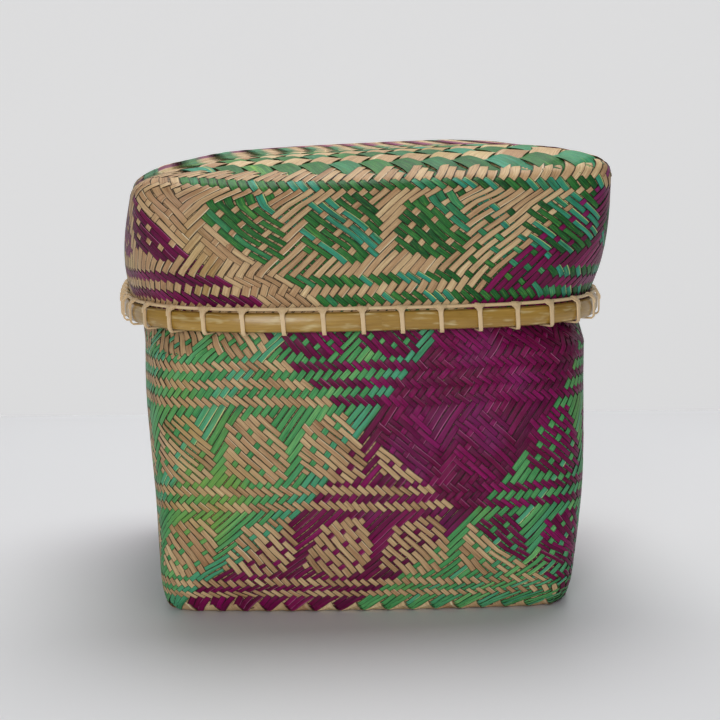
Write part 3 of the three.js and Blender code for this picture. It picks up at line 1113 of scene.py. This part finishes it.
def hexed(code):
    """Linear colour of a six-figure screen colour"""
    parts = [int(code[i:i + 2], 16) / 255 for i in (0, 2, 4)]
    linear = [p / 12.92 if p <= 0.04045 else ((p + 0.055) / 1.055) ** 2.4 for p in parts]
    return (*linear, 1.0)


# Near-black painted shadow for the gaps between strips, laid along their edges and slits
gap_shadow_colour = (0.010, 0.007, 0.004, 1.0)


def strip_material(name, tones, streaks, pale, stains, rough, streaky_share=0.45):
    """Bamboo strip: long fibres, tones that differ by strip, streaks, stains, darker edges that are
    partly painted shade, and slits of painted shadow
    """
    material, tree, shader = new_material(name, rough, specular=0.2)
    along, edges = strip_places(tree)
    shade = add(tree, "ShaderNodeAttribute", attribute_name="shade").outputs["Fac"]
    tint = add(tree, "ShaderNodeAttribute", attribute_name="tint").outputs["Fac"]

    # A wide strip has 1 added to its tint, and fibres as fine as a narrow strip's
    wide = maths(tree, "GREATER_THAN", tint, 1.0)
    tint = maths(tree, "SUBTRACT", tint, wide)
    across = times(tree, edges, scaled(tree, wide, 2.0, 1.0))

    # Fibres of three widths, which start at other places on each strip
    shade_far = times(tree, shade, 61.0)
    tint_far = times(tree, tint, 47.0)
    broad_across = scaled(tree, across, 1.6, tint_far)
    fine_across = scaled(tree, across, 6.5, shade_far)
    thread_across = scaled(tree, across, 15.0, tint_far)
    broad = grain(tree, scaled(tree, along, 0.35, shade_far), broad_across, 2.0)
    fine = grain(tree, scaled(tree, along, 0.8, tint_far), fine_across, 4.0)
    thread = grain(tree, scaled(tree, along, 1.6, shade_far), thread_across, 2.0)

    # Tone, a second colour on some strips, and dark and bright threads
    tone = scaled(tree, fine, 0.9, scaled(tree, broad, 0.55, times(tree, shade, 0.46)))
    colour = ramp(tree, maths(tree, "SUBTRACT", tone, 0.42, clamp=True), tones)
    other = scaled(tree, tint, 3.2, -1.7, clamp=True)
    other = times(tree, other, scaled(tree, broad, 2.0, -0.35, clamp=True))
    colour = mix_colour(tree, times(tree, other, streaks[1]), colour, streaks[0])
    dark = scaled(tree, thread, 5.0, -2.7, clamp=True)
    colour = mix_colour(tree, times(tree, dark, streaky_share), colour, tones[0][1])
    bright = scaled(tree, thread, -5.0, 2.05, clamp=True)
    colour = mix_colour(tree, times(tree, bright, streaky_share), colour, tones[-1][1])

    # Stains that spread over neighbouring strips
    place = add(tree, "ShaderNodeTexCoord").outputs["Object"]
    for stain, share, scale, threshold in stains:
        cloud = scaled(tree, noise(tree, place, scale, 2.0), 7.0, -7.0 * threshold, clamp=True)
        cloud = times(tree, cloud, scaled(tree, fine, 1.4, 0.1, clamp=True))
        colour = mix_colour(tree, times(tree, cloud, share), colour, stain)

    # Darker edges, partly their own colour and partly painted shade, ragged slits of painted
    # shadow, and a pale line beside the edge of some strips
    off = maths(tree, "ABSOLUTE", scaled(tree, edges, 2.0, -1.0))
    edge = times(tree, maths(tree, "POWER", off, scaled(tree, wide, 30.0, 8.0)), 0.7)
    ragged = grain(tree, scaled(tree, along, 0.5, tint_far), shade_far, 3.0)
    ragged = scaled(tree, ragged, 0.6, scaled(tree, wide, 0.3, 0.54))
    slit_shadow = times(tree, maths(tree, "GREATER_THAN", off, ragged), 0.9)
    colour = mix_colour(tree, maths(tree, "MAXIMUM", edge, slit_shadow), colour, gap_shadow_colour)
    below = maths(tree, "LESS_THAN", edges, 0.2)
    line = times(tree, below, maths(tree, "GREATER_THAN", edges, 0.07))
    lined = times(tree, line, maths(tree, "GREATER_THAN", tint, 0.80))
    lined = times(tree, lined, scaled(tree, broad, 3.0, -1.0, clamp=True))
    colour = mix_colour(tree, times(tree, lined, 0.8), colour, pale)

    feed(tree, shader.inputs["Base Color"], colour)
    feed(tree, shader.inputs["Roughness"], scaled(tree, fine, 0.3, rough - 0.15))
    crown = times(tree, maths(tree, "POWER", off, 4.0), -0.8)
    fibres = scaled(tree, thread, 0.7, times(tree, fine, 0.9))
    bumped(tree, shader, maths(tree, "ADD", crown, fibres), 0.5, 0.0003)
    return material


natural_tones = [
    (0.0, hexed("5c3d25")), (0.25, hexed("967350")), (0.5, hexed("bc9a72")),
    (0.75, hexed("d3b88b")), (1.0, hexed("f2e0b6")),
]
green_tones = [
    (0.0, hexed("154a26")), (0.25, hexed("2b7040")), (0.5, hexed("459456")),
    (0.75, hexed("62ab66")), (1.0, hexed("9cc878")),
]
lid_green_tones = [
    (0.0, hexed("072c14")), (0.25, hexed("0e4220")), (0.5, hexed("1f612a")),
    (0.75, hexed("3a823c")), (1.0, hexed("94c452")),
]
purple_tones = [
    (0.0, hexed("30001b")), (0.3, hexed("500030")), (0.55, hexed("6d0042")),
    (0.8, hexed("8a055a")), (1.0, hexed("a82478")),
]

# Streaks are a second colour and its share. A stain is a colour, its share, how fine its clouds
# are, and how rare.
natural_finish = strip_material(
    "natural strip", natural_tones, streaks=(hexed("a5744f"), 0.55), pale=hexed("f0e4c0"),
    stains=[(hexed("a39a3c"), 0.5, 15.0, 0.60), (hexed("9a6a84"), 0.35, 19.0, 0.66)], rough=0.5)
green_finish = strip_material(
    "green strip", green_tones, streaks=(hexed("4fa88c"), 0.85), pale=hexed("e0d98a"),
    stains=[(hexed("8da838"), 0.6, 17.0, 0.60)], rough=0.5, streaky_share=0.6)
lid_green_finish = strip_material(
    "lid green strip", lid_green_tones, streaks=(hexed("35a08a"), 0.9), pale=hexed("e6df7c"),
    stains=[(hexed("7f9e2e"), 0.6, 17.0, 0.60)], rough=0.5, streaky_share=0.75)
purple_finish = strip_material(
    "purple strip", purple_tones, streaks=(hexed("6d0a35"), 0.5), pale=hexed("bd6a97"),
    stains=[(hexed("8a2f78"), 0.5, 21.0, 0.56)], rough=0.44)
lining_finish = strip_material(
    "lining strip", natural_tones, streaks=(hexed("a5744f"), 0.4), pale=hexed("f0e4c0"),
    stains=[(hexed("d6c496"), 0.4, 15.0, 0.5)], rough=0.55)
strip_finishes = {
    ("base", "natural"): natural_finish, ("base", "green"): green_finish,
    ("base", "purple"): purple_finish, ("lid", "natural"): natural_finish,
    ("lid", "green"): lid_green_finish, ("lid", "purple"): purple_finish,
}


def hoop_material(name, tones, rough, coat):
    """Split bamboo with its glossy skin outwards: long pale scuffs and a slow change of tone"""
    material, tree, shader = new_material(name, rough, coat=coat)
    along, across = strip_places(tree)
    slow = grain(tree, times(tree, along, 0.16), times(tree, across, 1.5), 3.0)
    fine = grain(tree, times(tree, along, 0.5), times(tree, across, 24.0), 4.0)
    scuff = grain(tree, times(tree, along, 0.7), times(tree, across, 6.0), 2.0)
    worn = grain(tree, times(tree, along, 0.9), times(tree, across, 9.0), 3.0)
    tone = scaled(tree, fine, 0.5, times(tree, slow, 0.9))
    colour = ramp(tree, maths(tree, "SUBTRACT", tone, 0.22, clamp=True), tones)
    scuffed = scaled(tree, scuff, 5.0, -2.75, clamp=True)
    colour = mix_colour(tree, times(tree, scuffed, 0.65), colour, hexed("e0d3a4"))
    worn = scaled(tree, worn, 6.0, -3.7, clamp=True)
    colour = mix_colour(tree, times(tree, worn, 0.5), colour, tones[0][1])
    feed(tree, shader.inputs["Base Color"], colour)
    feed(tree, shader.inputs["Roughness"], scaled(tree, scuffed, 0.3, rough))
    bumped(tree, shader, fine, 0.3, 0.0002)
    return material


hoop_tones = [
    (0.0, hexed("71501a")), (0.35, hexed("93702a")), (0.6, hexed("ac883e")),
    (0.85, hexed("c2a05a")), (1.0, hexed("dac289")),
]
cane_tones = [
    (0.0, hexed("b08f63")), (0.35, hexed("d0b186")), (0.7, hexed("e5cda5")), (1.0, hexed("f3e4c4")),
]
hoop_finish = hoop_material("split bamboo skin", hoop_tones, rough=0.3, coat=0.35)
cane_finish = hoop_material("pale cane", cane_tones, rough=0.45, coat=0.0)


def plain_bamboo(name, tones, rough):
    """Split bamboo for the CAD's own inner hoops, in the part's own coordinates"""
    material, tree, shader = new_material(name, rough)
    split = add(tree, "ShaderNodeSeparateXYZ")
    feed(tree, split.inputs[0], add(tree, "ShaderNodeTexCoord").outputs["Object"])
    x, y, z = split.outputs
    fine = grain(tree, times(tree, x, 12.0), times(tree, y, 12.0), 4.0, times(tree, z, 900.0))
    feed(tree, shader.inputs["Base Color"], ramp(tree, fine, tones))
    bumped(tree, shader, fine, 0.3, 0.0002)
    return material


inner_hoop_finish = plain_bamboo("inner hoop bamboo", natural_tones, rough=0.45)

# Weave pieces

def finished(piece, finish, body, cad_node):
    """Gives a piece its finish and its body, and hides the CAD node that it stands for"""
    piece.data.materials.append(finish)
    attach(piece, body)
    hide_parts(cad_node)


for body, weave in weaves.items():
    for part in ("rising", "falling", weave["cap_name"]):
        for wanted in ("natural", "green", "purple"):
            if part == weave["cap_name"]:
                ribbons = wide_ribbons(body, wanted, wide_seed + (body == "lid"))
            else:
                ribbons = narrow_ribbons(body, part == "rising", wanted)
            if ribbons:
                piece = ribbon_mesh(f"{body}_{part}_{wanted}_strips", ribbons)
                finish = strip_finishes[(body, wanted)]
                finished(piece, finish, body, weave["cad_node"])
    ribbons = lining_ribbons(body, lining_seed + (body == "lid"))
    lining = ribbon_mesh(f"{body}_lining_strips", ribbons)
    finished(lining, lining_finish, body, f"{body}_lining")

# Rim hoops and lashing

hoop_stations = 256
hoop_map_length = 80.0
hoop_edge = 0.15
cord_radius = 0.85
cord_lift = 0.2
knot_width = 1.15
knot_thickness = 0.7
cord_offset = lay_gap + cord_diameter / 2
rims = {
    "base": {
        "half_width": base_rim_half_width, "edge_height": base_height, "inwards": -1,
        "hoop_height": base_hoop_height, "hoop_thickness": base_hoop_thickness,
        "stitch_pitch": base_stitch_pitch,
    },
    "lid": {
        "half_width": lid_rim_half_width, "edge_height": lid_height, "inwards": 1,
        "hoop_height": lid_hoop_height, "hoop_thickness": lid_hoop_thickness,
        "stitch_pitch": lid_stitch_pitch,
    },
}


def rim_ring(body, offset, height, turns):
    """Points round a rim, at an offset outwards from its wall and a height from its open edge"""
    rim = rims[body]
    x, y, _ = ring_plan(rim["half_width"], rim_corner_share, 0.0, turns)
    step = 1e-4
    ahead_x, ahead_y, _ = ring_plan(rim["half_width"], rim_corner_share, 0.0, turns + step)
    behind_x, behind_y, _ = ring_plan(rim["half_width"], rim_corner_share, 0.0, turns - step)
    along = np.stack([ahead_x - behind_x, ahead_y - behind_y], axis=-1)
    along /= np.linalg.norm(along, axis=-1, keepdims=True)
    out = np.stack([along[..., 1], -along[..., 0]], axis=-1)
    place = np.stack([x, y], axis=-1) + out * np.asarray(offset)[..., None]
    z = np.broadcast_to(rim["edge_height"] + rim["inwards"] * height, place.shape[:-1])
    return np.concatenate([place, z[..., None]], axis=-1)


def rim_spot(body, offset, height, turn):
    return rim_ring(body, np.array([offset]), height, np.array([turn]))[0]


def rim_outward(body, turn):
    """Level direction straight out from a rim"""
    away = rim_spot(body, 50.0, 0.0, turn) - rim_spot(body, 0.0, 0.0, turn)
    return away / np.linalg.norm(away)


def ring_piece(name, body, section):
    """A closed ring round a rim from a section of offsets and heights, shaped from a torus"""
    count = len(section)
    bpy.ops.object.select_all(action="DESELECT")
    bpy.ops.mesh.primitive_torus_add(
        major_segments=hoop_stations, minor_segments=count, major_radius=0.12, minor_radius=0.004)
    piece = bpy.context.object
    piece.name = name
    piece.data.name = name
    offsets, heights = np.array(section).T
    points = np.concatenate([
        rim_ring(body, offsets, heights, np.full(count, station / hoop_stations))
        for station in range(hoop_stations)
    ]) * metre
    piece.data.vertices.foreach_set("co", points.ravel())
    piece.data.update()
    strip_layer = piece.data.uv_layers.new(name="Strip")
    strip_layer.data.foreach_set("uv", ring_map(piece, count).ravel())
    for layer in list(piece.data.uv_layers):
        if layer.name != "Strip":
            piece.data.uv_layers.remove(layer)
    bpy.ops.object.mode_set(mode="EDIT")
    bpy.ops.mesh.select_all(action="SELECT")
    bpy.ops.mesh.normals_make_consistent(inside=False)
    bpy.ops.object.mode_set(mode="OBJECT")
    smooth(piece, ring_smooth_degrees)
    return piece


def ring_map(piece, count):
    """Map of a ring: along it and round its section, with no seam inside a face"""
    loops = np.zeros(len(piece.data.loops), dtype=np.int32)
    piece.data.loops.foreach_get("vertex_index", loops)
    faces = loops.reshape(-1, 4)
    found = []
    for places, total in ((faces // count, hoop_stations), (faces % count, count)):
        wraps = (places.max(axis=1) - places.min(axis=1)) > 1
        found.append(np.where(wraps[:, None] & (places == 0), total, places) / total)
    return np.stack([found[0].ravel() * hoop_map_length, found[1].ravel()], axis=1)


def half_round(inner, thickness, height, points=7):
    """Half-round section of a split bamboo hoop, flat side inwards"""
    middle = height / 2
    section = []
    for k in range(points):
        bend = math.pi * (k / (points - 1)) - math.pi / 2
        reach = inner + 0.25 * thickness + 0.75 * thickness * math.cos(bend) ** 0.75
        section.append((reach, middle + (middle - hoop_edge) * math.sin(bend)))
    section.append((inner, height - hoop_edge))
    section.append((inner, hoop_edge))
    return section


def round_section(offset, height, radius, count=8):
    return [
        (offset + radius * math.cos(2 * math.pi * k / count),
         height + radius * math.sin(2 * math.pi * k / count)) for k in range(count)
    ]


def strand_mesh(name, courses, width, thickness):
    """Flat cane strands along courses of points, each with its outward directions"""
    ribbons = []
    rng = np.random.default_rng(strand_seed)
    for place, out in courses:
        shade, tint = rng.random(2)
        sideways = np.cross(np.gradient(place, axis=0), out)
        sideways /= np.linalg.norm(sideways, axis=1, keepdims=True)
        ribbons.append({
            "place": place, "out": out, "beside": place + sideways, "height": np.zeros(len(place)),
            "depth": 0.0, "fill": np.full(len(place), width), "shade": shade, "tint": tint,
            "thickness": thickness,
        })
    return ribbon_mesh(name, ribbons)


def rim_stitches(body):
    """Length round a rim and its number of stitches"""
    angle = np.linspace(0, 2 * math.pi, 2881)
    reach = plan_reach(angle, rims[body]["half_width"], rim_corner_share)
    perimeter = float(np.sum(np.hypot(
        np.diff(reach * np.cos(angle)), np.diff(reach * np.sin(angle)))))
    return perimeter, 4 * round(perimeter / rims[body]["stitch_pitch"] / 4)


def stitch_turns(count):
    return [(k + 0.5) / count + 0.25 for k in range(count)]


def stitch_courses(body):
    """Courses of the wraps round a rim, from the cord over the hoop and under the inner hoop"""
    high = rims[body]["hoop_height"]
    perimeter, count = rim_stitches(body)
    outside = hoop_standout(rims[body]["hoop_thickness"]) - cane_thickness / 2
    inside = inner_reach - cane_thickness / 2
    cord_height = high + cord_offset
    course = [
        (cord_offset - 1.2, cord_height + 0.2), (cord_offset - 0.5, cord_height + 1.05),
        (cord_offset + 0.5, cord_height + 0.95), (outside - 0.35, high + 0.35),
        (outside + 0.02, high - 1.2), (outside + 0.12, high / 2), (outside + 0.02, 1.0),
        (outside - 0.3, 0.1), (outside - 1.1, -0.65), (0.8 - inside, -0.65), (-inside, 0.3),
        (-inside, high / 2), (-inside, high), (-2.9, high + 0.7),
    ]
    courses = []
    for turn in stitch_turns(count):
        points = []
        for index, (offset, height) in enumerate(course):
            lean = stitch_lean * (index / (len(course) - 1) - 0.25) * 2 / perimeter
            points.append(rim_spot(body, offset, height, turn + lean))
        points = np.array(points)
        tangent = np.cross(rim_outward(body, turn), [0, 0, 1.0])
        outs = np.cross(np.gradient(points, axis=0), tangent)
        outs /= np.linalg.norm(outs, axis=1, keepdims=True)
        if np.einsum("ij,ij->i", outs, points - points.mean(axis=0)).sum() < 0:
            outs = -outs
        courses.append((points, outs))
    return courses


def knot_courses(body):
    """Courses of the two strands that meet in a Y over the top of each wrap, and of their loop"""
    high = rims[body]["hoop_height"]
    perimeter, count = rim_stitches(body)
    outside = hoop_standout(rims[body]["hoop_thickness"])
    cord_height = high + cord_offset
    front = lay_gap + cord_diameter + 0.25
    arm = [
        (3.0, front - 0.9, cord_height + 0.5), (2.2, front - 0.1, cord_height + 0.3),
        (1.5, front + 0.3, cord_height - 0.3),
        (0.85, mixed(front, outside, 0.5) + 0.3, cord_height - 1.0),
        (0.45, outside + 0.05, high - 0.9), (0.35, outside + 0.1, high - 2.6),
    ]
    loop = [
        (-1.6, front - 0.5, cord_height + 0.9), (-1.0, front + 0.45, cord_height + 0.35),
        (0.0, front + 0.75, cord_height - 0.25), (1.0, front + 0.45, cord_height + 0.25),
        (1.6, front - 0.5, cord_height + 0.8),
    ]
    courses = []
    for turn in stitch_turns(count):
        plan_out = rim_outward(body, turn)
        plan_out[2] = 0.5 * rims[body]["inwards"]
        for side, course in ((-1, arm), (1, arm), (1, loop)):
            points = np.array([
                rim_spot(body, out, height, turn + side * along / perimeter)
                for along, out, height in course
            ])
            ahead = np.gradient(points, axis=0)
            share = (ahead @ plan_out) / np.sum(ahead ** 2, axis=1)
            outs = plan_out - ahead * share[:, None]
            outs /= np.linalg.norm(outs, axis=1, keepdims=True)
            courses.append((points, outs))
    return courses


for body, rim in rims.items():
    section = half_round(lay_gap, rim["hoop_thickness"], rim["hoop_height"])
    hoop = ring_piece(f"{body}_rim_hoop", body, section)
    finished(hoop, hoop_finish, body, f"{body}_outer_hoop")
    cord_height = rim["hoop_height"] + cord_offset
    section = round_section(cord_offset, cord_height + cord_lift, cord_radius)
    cord = ring_piece(f"{body}_rim_cord", body, section)
    stitches = strand_mesh(f"{body}_rim_stitches", stitch_courses(body), cane_width, cane_thickness)
    knots = strand_mesh(f"{body}_rim_knots", knot_courses(body), knot_width, knot_thickness)
    for piece in (cord, stitches, knots):
        finished(piece, cane_finish, body, f"{body}_lashing")
    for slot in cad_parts[f"{body}_inner_hoop"].material_slots:
        slot.material = inner_hoop_finish

# Stage, camera and light

camera_place = Vector((-0.1000, -0.9326, 0.2449))
camera_forward = Vector((0.1086, 0.9835, -0.1445)).normalized()
camera_roll = -0.009
camera_lens = 90.0
sensor_width = 36.0

level_right = camera_forward.cross(Vector((0, 0, 1))).normalized()
level_up = level_right.cross(camera_forward)
rolled_right = level_right * math.cos(camera_roll) + level_up * math.sin(camera_roll)
rolled_up = level_up * math.cos(camera_roll) - level_right * math.sin(camera_roll)
camera_turn = Matrix((rolled_right, rolled_up, -camera_forward)).transposed()
camera_data = bpy.data.cameras.new("camera")
camera_data.lens = camera_lens
camera_data.sensor_width = sensor_width
camera = bpy.data.objects.new("camera", camera_data)
camera.matrix_world = Matrix.Translation(camera_place) @ camera_turn.to_4x4()
bpy.context.scene.collection.objects.link(camera)
bpy.context.scene.camera = camera


def stage_material(name, colour, rough):
    """Plain surface with a faint change of tone"""
    material, tree, shader = new_material(name, rough)
    place = add(tree, "ShaderNodeTexCoord").outputs["Object"]
    cloud = noise(tree, place, 3.0, 2.0)
    light = tuple(min(c * 1.02, 1.0) for c in colour[:3]) + (1.0,)
    dark = tuple(c * 0.97 for c in colour[:3]) + (1.0,)
    feed(tree, shader.inputs["Base Color"], mix_colour(tree, cloud, dark, light))
    return material


# The floor ends a little behind the box, and the backdrop stands well behind it, so that neither
# comes between the box and a camera that looks from the back
view_turn = math.atan2(camera_forward.x, camera_forward.y)
view_direction = Vector((math.sin(view_turn), math.cos(view_turn), 0))
floor_size = 14.0
floor_end_distance = 1.39
backdrop_distance = 4.2
backdrop_glow = 0.54


def stage_plane(name, middle, tilt):
    bpy.ops.mesh.primitive_plane_add(size=floor_size, location=(middle.x, middle.y, 0))
    plane = bpy.context.object
    plane.name = name
    plane.rotation_euler = (tilt, 0, -view_turn)
    bpy.ops.object.transform_apply(location=True, rotation=True, scale=False)
    return plane


floor_middle = camera_place + view_direction * (floor_end_distance - floor_size / 2)
floor = stage_plane("floor", floor_middle, 0.0)
floor.data.materials.append(stage_material("pale floor", hexed("d8d9dc"), rough=0.55))

backdrop_middle = camera_place + view_direction * backdrop_distance
backdrop = stage_plane("backdrop", backdrop_middle, math.pi / 2)
backdrop_finish = stage_material("pale backdrop", hexed("d0d0d1"), rough=0.8)
backdrop_shader = backdrop_finish.node_tree.nodes["Principled BSDF"]
backdrop_shader.inputs["Emission Color"].default_value = (1.0, 1.0, 1.0, 1.0)
backdrop_shader.inputs["Emission Strength"].default_value = backdrop_glow
backdrop.data.materials.append(backdrop_finish)


def area_light(name, place, target, size, power, colour):
    data = bpy.data.lights.new(name, "AREA")
    data.shape = "DISK"
    data.size = size
    data.energy = power
    data.color = colour
    lamp = bpy.data.objects.new(name, data)
    lamp.location = place
    aim = (Vector(target) - Vector(place)).to_track_quat("-Z", "Y")
    lamp.rotation_euler = aim.to_euler()
    bpy.context.scene.collection.objects.link(lamp)


area_light(
    "overhead", place=(0.1, 0.35, 1.5), target=(0, 0, 0.1), size=0.9, power=17,
    colour=(1.0, 0.99, 0.97))
area_light(
    "front", place=(-0.7, -2.4, 0.7), target=(0, 0, 0.12), size=1.3, power=29,
    colour=(1.0, 0.99, 0.98))

world = bpy.data.worlds.new("world")
world.use_nodes = True
background = world.node_tree.nodes["Background"]
background.inputs["Color"].default_value = (0.86, 0.87, 0.9, 1.0)
background.inputs["Strength"].default_value = 0.2
bpy.context.scene.world = world
bpy.context.scene.view_settings.view_transform = "Standard"
